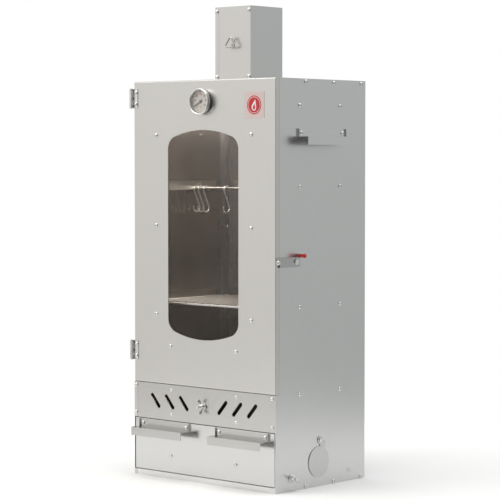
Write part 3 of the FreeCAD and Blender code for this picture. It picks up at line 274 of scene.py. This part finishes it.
MATERIALS = {
    "casing_steel": sheet_metal("casing_steel", 0.60, 0.002, 0.30),
    "door_steel": sheet_metal("door_steel", 0.60, 0.012, 0.32),
    "inner_steel": sheet_metal("inner_steel", 0.60, 0.03, 0.40, stain=0.6),
    "bright_steel": plated("bright_steel", 0.76, 0.006, 0.22),
    "cast_zinc": plated("cast_zinc", 0.80, 0.004, 0.30, 600),
    "wire_steel": plated("wire_steel", 0.90, 0.010, 0.30, 1500),
    "window_glass": make_glass("window_glass", (0.045, 0.038, 0.030, 1), 0.16, 0.015),
    "lens_glass": make_glass("lens_glass", (0.6, 0.6, 0.58, 1), 0.08, 0.02),
    "dial_face": enamel("dial_face", (0.76, 0.71, 0.64, 1), 0.42),
    "pointer_black": enamel("pointer_black", (0.016, 0.016, 0.017, 1), 0.38),
    "badge": enamel("badge", (0.70, 0.56, 0.54, 1), 0.34),
    "red_vinyl": dipped_vinyl("red_vinyl"),
    "heater_sheath": heater_tube("heater_sheath"),
    "black_plastic": phenolic("black_plastic"),
}
PRINT_RED = enamel("print_red", (0.55, 0.020, 0.030, 1), 0.30)
PRINT_WHITE = enamel("print_white", (0.86, 0.82, 0.80, 1), 0.32)
PRINT_BLACK = enamel("print_black", (0.022, 0.020, 0.020, 1), 0.42)

# Copies of the slot steels, one per part, where the finish differs from the slot's common one. Most
# differ only in tone, lighter or darker to suit how light falls on that part: painted light and
# shade. The panels with an inward side also carry real smoke stain.
SHADE_TONED_AND_SOOTED = {
    "back_panel": sheet_metal("casing_steel_back", 0.60, 0.002, 0.30, inward=(0, -1, 0), dull=0.45),
    # Lighter copy for the right side, the side in view: painted light, with real smoke stain inside.
    "side_panel_right": sheet_metal("casing_steel_right", 0.64, 0.002, 0.30, inward=(-1, 0, 0)),
    "side_panel_left": sheet_metal("casing_steel_left", 0.60, 0.002, 0.30, inward=(1, 0, 0)),
    # Darker copy of the casing steel for the roof, which the lamp above lights most: painted shade,
    # with real smoke stain inside.
    "roof_panel": sheet_metal("casing_steel_roof_soot_and_painted_shade", 0.46, 0.002, 0.30, inward=(0, 0, -1)),
    "door_shell": sheet_metal("door_steel_outer", 0.62, 0.012, 0.32, inward=(0, 1, 0)),
    # Lighter copy for the base rail, standing in for the bright floor it mirrors: painted reflection.
    "floor_panel": sheet_metal("casing_steel_base_painted_reflection", 0.74, 0.002, 0.30),
    "vent_panel": sheet_metal("vent_steel", 0.54, 0.012, 0.30),
    "drawer_front": sheet_metal("drawer_steel", 0.61, 0.004, 0.20),
    "latch_lever": sheet_metal("lever_steel", 0.47, 0.004, 0.26),
    "port_cover": sheet_metal("cover_steel", 0.54, 0.002, 0.26),
    # Darker copy of the plated wire for the damper key: painted shade.
    "damper_key": plated("damper_wire_painted_shade", 0.50, 0.012, 0.26, 1500),
}
# Darker copy for the drawer handles (painted shade) and a lighter one for the side handles (painted
# light).
drawer_grip_painted_shade = sheet_metal("drawer_handle_painted_shade", 0.49, 0.010, 0.20)
side_grip_painted_light = sheet_metal("side_handle_painted_light", 0.63, -0.003, 0.22)
for side in ("left", "right"):
    SHADE_TONED_AND_SOOTED["drawer_handle_" + side] = drawer_grip_painted_shade
    SHADE_TONED_AND_SOOTED["side_handle_" + side] = side_grip_painted_light

slot_of = {row["node"]: row["material_slot"] for row in frame["record"]["subparts"]}
for name, node in nodes.items():
    node.data.materials.clear()
    node.data.materials.append(SHADE_TONED_AND_SOOTED.get(name) or MATERIALS[slot_of[name]])


# ---------------------------------------------------------------- mesh building blocks

def linked(name, data):
    """A new object in the scene that shows the data."""
    made = bpy.data.objects.new(name, data)
    bpy.context.scene.collection.objects.link(made)
    return made


def outward_mesh(name, shape):
    """The bmesh as a mesh whose faces look outward. The bmesh is freed."""
    mesh = bpy.data.meshes.new(name)
    bmesh.ops.recalc_face_normals(shape, faces=shape.faces)
    shape.to_mesh(mesh)
    shape.free()
    return mesh


def evaluated(made):
    """The object as its modifiers and settings shape it."""
    return made.evaluated_get(bpy.context.evaluated_depsgraph_get())


def piece(name, shape, material, body, crease):
    """Makes the bmesh an object that rides on the body. Edges past crease degrees stay sharp."""
    mesh = outward_mesh(name, shape)
    mesh.polygons.foreach_set("use_smooth", [True] * len(mesh.polygons))
    mesh.set_sharp_from_angle(angle=math.radians(crease))
    mesh.materials.append(material)
    made = linked(name, mesh)
    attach(made, body)
    return made


def lathe(profile, segments=48, closed=False):
    """Revolves (radius, height) points in millimetres round Z. A closed profile makes a ring."""
    shape = bmesh.new()
    rings = []
    for radius, height in profile:
        count = 1 if radius == 0 else segments
        rings.append([shape.verts.new((
            radius * MM * math.cos(math.tau * step / segments),
            radius * MM * math.sin(math.tau * step / segments), height * MM))
            for step in range(count)])
    pairs = list(zip(rings, rings[1:])) + ([(rings[-1], rings[0])] if closed else [])
    for low, high in pairs:
        for step in range(segments):
            after = (step + 1) % segments
            corners = [low[step % len(low)], low[after % len(low)],
                       high[after % len(high)], high[step % len(high)]]
            shape.faces.new(list(dict.fromkeys(corners)))
    return shape


def plate(outline, thickness, top=None):
    """A flat piece: (x, y) points in millimetres. Its upper face can have an outline of its own."""
    shape = bmesh.new()
    low = [shape.verts.new((x * MM, y * MM, 0)) for x, y in outline]
    high = [shape.verts.new((x * MM, y * MM, thickness * MM)) for x, y in (top or outline)]
    shape.faces.new(low)
    shape.faces.new(high)
    for step in range(len(low)):
        after = (step + 1) % len(low)
        shape.faces.new((low[step], low[after], high[after], high[step]))
    return shape


def merge(target, source, matrix=Matrix.Identity(4)):
    """Adds the source bmesh, moved by the matrix, to the target, and frees it."""
    mesh = bpy.data.meshes.new("part")
    source.transform(matrix)
    source.to_mesh(mesh)
    source.free()
    target.from_mesh(mesh)
    bpy.data.meshes.remove(mesh)


def subdivided(shape, levels):
    """The bmesh after Catmull-Clark subdivision."""
    cage = linked("cage", outward_mesh("cage", shape))
    cage.modifiers.new("round", "SUBSURF").levels = levels
    rounded = bmesh.new()
    rounded.from_object(cage, bpy.context.evaluated_depsgraph_get())
    bpy.data.objects.remove(cage)
    return rounded


def facing(axis, at, spin=0.0):
    """The matrix that turns local Z to the axis, spins about it and moves to the point."""
    turn = Vector((0, 0, 1)).rotation_difference(Vector(axis)).to_matrix().to_4x4()
    return Matrix.Translation(at) @ turn @ Matrix.Rotation(spin, 4, "Z")


def on_door(at, lift):
    """A matrix with local X to the right and Y up, on a plane lift millimetres in front of at."""
    place = Vector(at) - Vector((0, lift * MM, 0))
    return Matrix.Translation(place) @ Matrix.Rotation(math.pi / 2, 4, "X")


def solids(node):
    """The points of each separate solid of a CAD node."""
    shape = bmesh.new()
    shape.from_mesh(nodes[node].data)
    bmesh.ops.remove_doubles(shape, verts=shape.verts, dist=0.001 * MM)
    shape.verts.ensure_lookup_table()
    seen = set()
    found = []
    for first in shape.verts:
        if first.index in seen:
            continue
        seen.add(first.index)
        waiting = [first]
        points = []
        while waiting:
            vert = waiting.pop()
            points.append(vert.co.copy())
            for edge in vert.link_edges:
                other = edge.other_vert(vert)
                if other.index not in seen:
                    seen.add(other.index)
                    waiting.append(other)
        found.append(points)
    shape.free()
    return found


# ---------------------------------------------------------------- screws

# A pan head's (radius, height) and half of its cross recess, in millimetres.
HEAD = ((4.05, 0), (4.12, 0.35), (4.12, 1.1), (3.95, 1.6), (3.55, 2.1), (2.9, 2.5), (2.0, 2.8),
        (1.0, 2.95), (0, 3.0))
HEAD_SEGMENTS = 32
RECESS = ((-2.05, 0.42), (-0.42, 0.42), (-0.42, 2.05), (0.42, 2.05), (0.42, 0.42), (2.05, 0.42))
RECESS_FLOOR = 2.1
RECESS_TAPER = 0.72
TOOL_HEIGHT = 2.0
HEAD_REACH = 3.85  # only a head has points further from the screw's axis than this
HEAD_TURN = 2.4  # radians from one head to the next


def cross_head():
    """A pan head with a cross recess, as a mesh."""
    upper = list(RECESS) + [(-x, -y) for x, y in RECESS]
    lower = [(x * RECESS_TAPER, y * RECESS_TAPER) for x, y in upper]
    cutter = plate(lower, TOOL_HEIGHT, upper)
    cutter.transform(Matrix.Translation((0, 0, RECESS_FLOOR * MM)))
    head = linked("head", outward_mesh("head", lathe(((0, 0),) + HEAD, HEAD_SEGMENTS)))
    tool = linked("tool", outward_mesh("tool", cutter))
    carve = head.modifiers.new("recess", "BOOLEAN")
    carve.operation = "DIFFERENCE"
    carve.object = tool
    carve.solver = "EXACT"
    carved = bpy.data.meshes.new_from_object(evaluated(head))
    for used in (head, tool):
        bpy.data.objects.remove(used)
    return carved


def head_places(node):
    """Where each screw's head sits and which way it looks."""
    places = []
    for points in solids(node):
        low = Vector([min(point[axis] for point in points) for axis in range(3)])
        high = Vector([max(point[axis] for point in points) for axis in range(3)])
        centre = (low + high) / 2
        mean = sum(points, Vector()) / len(points)
        along = max(range(3), key=lambda axis: abs(mean[axis] - centre[axis]))
        others = [axis for axis in range(3) if axis != along]
        rim = [point[along] for point in points if math.hypot(
            *(point[axis] - centre[axis] for axis in others)) > HEAD_REACH * MM]
        sign = 1 if sum(rim) / len(rim) > centre[along] else -1
        axis = Vector((0, 0, 0))
        axis[along] = sign
        seat = centre.copy()
        seat[along] = min(rim) if sign > 0 else max(rim)
        places.append((axis, seat))
    return places


def screw_heads():
    """A cross-recessed head over each plain one, all turned differently as a fitter leaves them."""
    head = cross_head()
    for node, body in (("casing_screws", "root"), ("door_screws", "door"),
                       ("drawer_screws", "drawer")):
        shape = bmesh.new()
        for number, (axis, seat) in enumerate(head_places(node)):
            one = bmesh.new()
            one.from_mesh(head)
            merge(shape, one, facing(axis, seat, number * HEAD_TURN))
        piece(node.replace("screws", "screw_heads"), shape, MATERIALS["bright_steel"], body,
              crease=30)


# ---------------------------------------------------------------- wing nuts

# A wing's (reach, height), and the hub's and the washer's (radius, height), in millimetres.
WING = ((4.0, 1.6), (9.6, 2.4), (15.4, 5.2), (17.2, 10.0), (15.2, 14.8), (11.6, 16.2),
        (8.6, 13.6), (8.2, 10.0), (6.6, 8.0), (4.0, 7.4))
HUB = ((3.02, 1.2), (6.4, 1.2), (6.5, 1.8), (5.9, 5.0), (5.2, 8.0), (4.7, 8.7), (4.0, 9.1),
       (3.02, 8.9))
WASHER = ((3.1, 0), (8.7, 0), (9.0, 0.3), (9.0, 0.9), (8.7, 1.2), (3.1, 1.2))
WING_HALF = 1.5
VENT_NUT_SPIN = 100
SIDE_NUT_SPIN = 55


def wing_nut(node, body, axis, degrees):
    """A cast wing nut on a washer, in place of the plain one. The axis looks away from the sheet."""
    low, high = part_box(node)
    axis = Vector(axis)
    centre = (low + high) / 2
    seat = Vector([
        centre[k] if axis[k] == 0 else (low[k] if axis[k] > 0 else high[k]) for k in range(3)])
    shape = lathe(WASHER, segments=48, closed=True)
    merge(shape, lathe(HUB, segments=40, closed=True))
    for sign in (1, -1):
        wing = plate([(sign * x, z) for x, z in WING], 2 * WING_HALF)
        upright = Matrix.Translation((0, WING_HALF * MM, 0)) @ Matrix.Rotation(
            math.pi / 2, 4, "X")
        wing.transform(upright)
        merge(shape, subdivided(wing, levels=3))
    shape.transform(facing(axis, seat, math.radians(degrees)))
    made = piece(node.replace("wing_nut", "cast_nut"), shape, MATERIALS["cast_zinc"], body,
                 crease=40)
    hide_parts(node)


# ---------------------------------------------------------------- thermometer

# The case and its rolled bezel, as (radius, height above the door) in millimetres.
CASE = ((3.0, 4.0), (25.0, 4.0), (25.8, 4.4), (26.0, 5.2), (26.0, 10.3), (26.5, 10.6),
        (27.2, 10.8), (27.5, 11.3), (27.5, 12.5), (27.2, 13.3), (26.5, 13.85), (25.5, 14.0),
        (24.6, 13.75), (23.9, 13.2), (23.6, 12.6), (23.6, 11.4), (25.0, 11.4), (25.0, 5.0),
        (3.0, 5.0))
# The dial: degrees of sweep, numbers, and radii and half widths in millimetres.
SWEEP = 240
DIAL_NUMBERS = ("0", "40", "80", "120", "160", "200", "240")
DIAL_STEPS = 48
STEPS_PER_NUMBER = 8
MARK_OUTER = 22.4
LONG_MARK = (19.2, 0.42)
SHORT_MARK = (20.6, 0.20)
RIM_LINE = (22.4, 22.8)
SMOKING_SHARES = (0.25, 0.5)
SMOKING_BAND = (17.6, 18.8)
NUMBER_RADIUS = 15.4
UNIT_DROP = 12
NUMBER_SIZE = 5.4
UNIT_SIZE = 6.0
INK = 0.06
PRINT_LIFT = 0.02


def dial_angle(share):
    """The direction of a mark at a share of the scale, which runs clockwise over the top."""
    return math.radians(90 + SWEEP / 2 - SWEEP * share)


def bar_mark(angle, inner, outer, half):
    """A radial stroke on the dial."""
    stroke = plate(((inner, -half), (outer, -half), (outer, half), (inner, half)), INK)
    stroke.transform(Matrix.Rotation(angle, 4, "Z"))
    return stroke


def figures(text, size):
    """The text as a flat bmesh, centred. It reaches half the ink's thickness to each side."""
    curve = bpy.data.curves.new("figures", "FONT")
    curve.body = text
    curve.size = size * MM
    curve.extrude = INK / 2 * MM
    curve.align_x = "CENTER"
    curve.align_y = "CENTER"
    writing = linked("figures", curve)
    shape = bmesh.new()
    shape.from_mesh(bpy.data.meshes.new_from_object(evaluated(writing)))
    bpy.data.objects.remove(writing)
    return shape


def arc_band(start, end, inner, outer, steps=24):
    """A curved band on the dial between two shares of its scale."""
    angles = [dial_angle(start + (end - start) * step / steps) for step in range(steps + 1)]
    outline = [(outer * math.cos(a), outer * math.sin(a)) for a in angles]
    outline += [(inner * math.cos(a), inner * math.sin(a)) for a in reversed(angles)]
    return plate(outline, INK)


def dial_print():
    """The scale's marks, rim line, numbers and unit as one flat bmesh."""
    shape = bmesh.new()
    for step in range(DIAL_STEPS + 1):
        inner, half = SHORT_MARK if step % STEPS_PER_NUMBER else LONG_MARK
        merge(shape, bar_mark(dial_angle(step / DIAL_STEPS), inner, MARK_OUTER, half))
    merge(shape, arc_band(0, 1, *RIM_LINE, steps=60))
    for number, text in enumerate(DIAL_NUMBERS):
        angle = dial_angle(number / (len(DIAL_NUMBERS) - 1))
        reach = NUMBER_RADIUS * MM
        merge(shape, figures(text, NUMBER_SIZE), Matrix.Translation(
            (reach * math.cos(angle), reach * math.sin(angle), INK / 2 * MM)))
    merge(shape, figures("\u00b0C", UNIT_SIZE), Matrix.Translation(
        (0, -UNIT_DROP * MM, INK / 2 * MM)))
    return shape


def thermometer():
    """A rolled bezel and case, and the dial's scale and smoking band."""
    low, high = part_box("thermometer_dial")
    centre = (low + high) / 2
    door_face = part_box("door_shell")[0].y
    case = lathe(CASE, segments=96, closed=True)
    case.transform(facing((0, -1, 0), (centre.x, door_face, centre.z)))
    made = piece("thermometer_bezel", case, MATERIALS["bright_steel"], "door",
                 crease=28)
    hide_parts("thermometer_case")
    on_dial = on_door((centre.x, low.y, centre.z), PRINT_LIFT)
    scale = dial_print()
    scale.transform(on_dial)
    piece("dial_scale", scale, PRINT_BLACK, "door", crease=60)
    band = arc_band(*SMOKING_SHARES, *SMOKING_BAND)
    band.transform(on_dial)
    piece("dial_band", band, PRINT_RED, "door", crease=60)


# ---------------------------------------------------------------- badge

DISC_STEPS = 48
FLAME_STEPS = 40
TIP_SHARPNESS = 1.4
TIP_BEND = 1.6
LAYER = 0.12
CORE_DROP = 3.4


def circle(radius):
    """The outline of a disc."""
    turns = [math.tau * step / DISC_STEPS for step in range(DISC_STEPS)]
    return [(radius * math.cos(turn), radius * math.sin(turn)) for turn in turns]


def flame(width, height, lean):
    """The outline of a drop with its tip up, bent sideways by lean."""
    points = []
    for step in range(FLAME_STEPS):
        turn = math.tau * step / FLAME_STEPS
        rise = math.cos(turn)
        x = width * math.sin(turn) * abs(math.sin(turn / 2)) ** TIP_SHARPNESS
        points.append((x + lean * (1 + rise) * math.sin(TIP_BEND * rise), height * rise))
    return points


def badge():
    """A generic mark in thin layers: a flame on a red disc, with a pale ring."""
    low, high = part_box("badge_plate")
    centre = ((low.x + high.x) / 2, low.y, (low.z + high.z) / 2)
    for name, outline, lift, material in (
            ("badge_disc", circle(19.0), 0.0, PRINT_RED),
            ("badge_ring", circle(16.6), 0.10, PRINT_WHITE),
            ("badge_field", circle(15.6), 0.20, PRINT_RED),
            ("badge_flame", flame(8.6, 11.5, 1.5), 0.30, PRINT_WHITE),
            ("badge_flame_core", flame(4.4, 5.6, 0.8), 0.40, PRINT_RED)):
        layer = plate(outline, LAYER)
        rise = -CORE_DROP * MM if name == "badge_flame_core" else 0
        layer.transform(on_door(centre, lift) @ Matrix.Translation((0, rise, 0)))
        piece(name, layer, material, "door", crease=60)


# ---------------------------------------------------------------- latch grip

# The sleeve's (radius, distance along the stem) in millimetres.
GRIP = ((0, 0.2), (3.2, 0.2), (4.0, 0.5), (4.4, 1.2), (4.3, 2.6), (3.9, 5.0), (3.8, 9.0),
        (4.1, 13.0), (4.45, 15.4), (4.4, 16.8), (3.9, 17.8), (2.8, 18.4), (0, 18.5))


def latch_grip():
    """A dipped vinyl sleeve, waisted, with a rounded end."""
    low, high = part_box("latch_grip")
    seat = (low.x, (low.y + high.y) / 2, (low.z + high.z) / 2)
    shape = lathe(GRIP, segments=40)
    shape.transform(facing((1, 0, 0), seat))
    made = piece("vinyl_grip", shape, MATERIALS["red_vinyl"], "latch", crease=50)
    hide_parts("latch_grip")


screw_heads()
wing_nut("vent_wing_nut", "vent_nut", (0, -1, 0), VENT_NUT_SPIN)
wing_nut("right_wing_nut", "right_nut", (1, 0, 0), SIDE_NUT_SPIN)
wing_nut("left_wing_nut", "left_nut", (-1, 0, 0), SIDE_NUT_SPIN)
thermometer()
badge()
latch_grip()


# ---------------------------------------------------------------- light, floor and camera

# The surround's colour, from opposite BRIGHT_SIDE (0) round to BRIGHT_SIDE itself (1).
SKY = (
    (0.0, (0.64, 0.66, 0.65, 1)),
    (0.20, (0.60, 0.62, 0.61, 1)),
    (0.46, (0.24, 0.24, 0.24, 1)),
    (0.60, (0.34, 0.34, 0.33, 1)),
    (0.88, (1.0, 0.985, 0.955, 1)),
    (1.0, (1.0, 0.985, 0.955, 1)),
)
# Its strength from straight down (-1) to straight up (1).
GLOW = ((-1.0, 0.66), (-0.20, 0.66), (-0.06, 0.95), (0.15, 1.0), (0.85, 1.6), (1.0, 1.6))
BRIGHT_SIDE = (-0.67, -0.74, 0.0)


def studio_world():
    """A surround that is brightest at the front left and darkest on both sides of the object.

    The camera sees plain white instead.
    """
    world = bpy.data.worlds.new("studio")
    bpy.context.scene.world = world
    world.use_nodes = True
    world.node_tree.nodes.clear()
    sky = Nodes(world.node_tree)
    heading = sky.add("ShaderNodeTexCoord").outputs["Generated"]

    side = sky.add("ShaderNodeVectorMath", {0: heading, 1: BRIGHT_SIDE}, operation="DOT_PRODUCT")
    across = sky.add("ShaderNodeMapRange", {"Value": side.outputs["Value"], "From Min": -1.0})
    colour = sky.add("ShaderNodeValToRGB", {"Fac": across.outputs["Result"]})
    ramp = colour.color_ramp
    ramp.interpolation = "EASE"
    ramp.elements.remove(ramp.elements[0])
    ramp.elements[0].position = 1.0
    ramp.elements[0].color = SKY[-1][1]
    for position, tint in SKY[:-1]:
        ramp.elements.new(position).color = tint

    height = sky.add("ShaderNodeSeparateXYZ", {0: heading})
    lift = sky.add("ShaderNodeMapRange", {"Value": height.outputs["Z"], "From Min": -1.0})
    level = sky.add("ShaderNodeFloatCurve", {"Value": lift.outputs["Result"]})
    curve = level.mapping.curves[0]
    strongest = GLOW[-1][1]
    for index, (rise, strength) in enumerate(GLOW):
        at = ((rise + 1) / 2, strength / strongest)
        if index < 2:
            curve.points[index].location = at
        else:
            curve.points.new(*at)
    level.mapping.update()
    power = sky.add("ShaderNodeMath", {0: level.outputs[0], 1: strongest}, operation="MULTIPLY")

    surround = sky.add("ShaderNodeBackground", {
        "Color": colour.outputs["Color"], "Strength": power.outputs[0]})
    backdrop = sky.add("ShaderNodeBackground", {"Color": (1, 1, 1, 1), "Strength": 1.0})
    seen = sky.add("ShaderNodeLightPath")
    mix = sky.add("ShaderNodeMixShader", {
        "Fac": seen.outputs["Is Camera Ray"], 1: surround.outputs[0], 2: backdrop.outputs[0]})
    sky.add("ShaderNodeOutputWorld", {"Surface": mix.outputs[0]})


def area_light(name, at, aim, size, power, colour=(1, 1, 1)):
    """A soft rectangular lamp that looks at the point aim."""
    data = bpy.data.lights.new(name, "AREA")
    data.shape = "RECTANGLE"
    data.size, data.size_y = size
    data.energy = power
    data.color = colour
    lamp = linked(name, data)
    lamp.location = at
    lamp.rotation_euler = (Vector(aim) - Vector(at)).to_track_quat("-Z", "Y").to_euler()


def lamps():
    """A warm key from the front left, a wide lamp above and a small one under the roof."""
    middle = (cad_box[0] + cad_box[1]) / 2
    roof_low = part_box("roof_panel")[0].z
    area_light("key", at=(-1.2, -2.0, 2.6), aim=middle, size=(1.2, 1.2), power=16,
               colour=(1.0, 0.985, 0.96))
    area_light("top", at=(0.0, 0.0, 3.2), aim=(0, 0, 0), size=(2.6, 2.6), power=64)
    area_light("chamber", at=(0.0, -0.09, roof_low - 0.02), aim=(0, 0.05, 0.3),
               size=(0.30, 0.06), power=1.3, colour=(1.0, 0.97, 0.93))


FLOOR_RADIUS = 1.0


def make_floor():
    """A plain pale floor under the base."""
    mesh = bpy.data.meshes.new("floor")
    shape = bmesh.new()
    bmesh.ops.create_circle(shape, cap_ends=True, segments=96, radius=FLOOR_RADIUS)
    shape.to_mesh(mesh)
    shape.free()
    floor = linked("floor", mesh)
    floor.location.z = cad_box[0].z
    paint = Paint("floor_pale", Roughness=0.7)
    paint.drive("Base Color", paint.blend(
        paint.noise(3), (0.87, 0.87, 0.87, 1), (0.90, 0.90, 0.895, 1)))
    mesh.materials.append(paint.material)


CAMERA_AT = (2.8119, -3.1265, 0.6801)
CAMERA_AZIMUTH = 41.935
CAMERA_DOWN = 2.727
CAMERA_LENS = 143.26


def make_camera():
    """The camera stands to the right of the door, above the middle, and looks slightly down."""
    data = bpy.data.cameras.new("camera")
    data.sensor_width = 36.0
    data.lens = CAMERA_LENS
    data.clip_end = 50.0
    camera = linked("camera", data)
    camera.location = CAMERA_AT
    camera.rotation_euler = (
        math.pi / 2 - math.radians(CAMERA_DOWN), 0.0, math.radians(CAMERA_AZIMUTH))
    bpy.context.scene.camera = camera


bpy.context.scene.view_settings.view_transform = "Standard"
studio_world()
lamps()
make_floor()
make_camera()
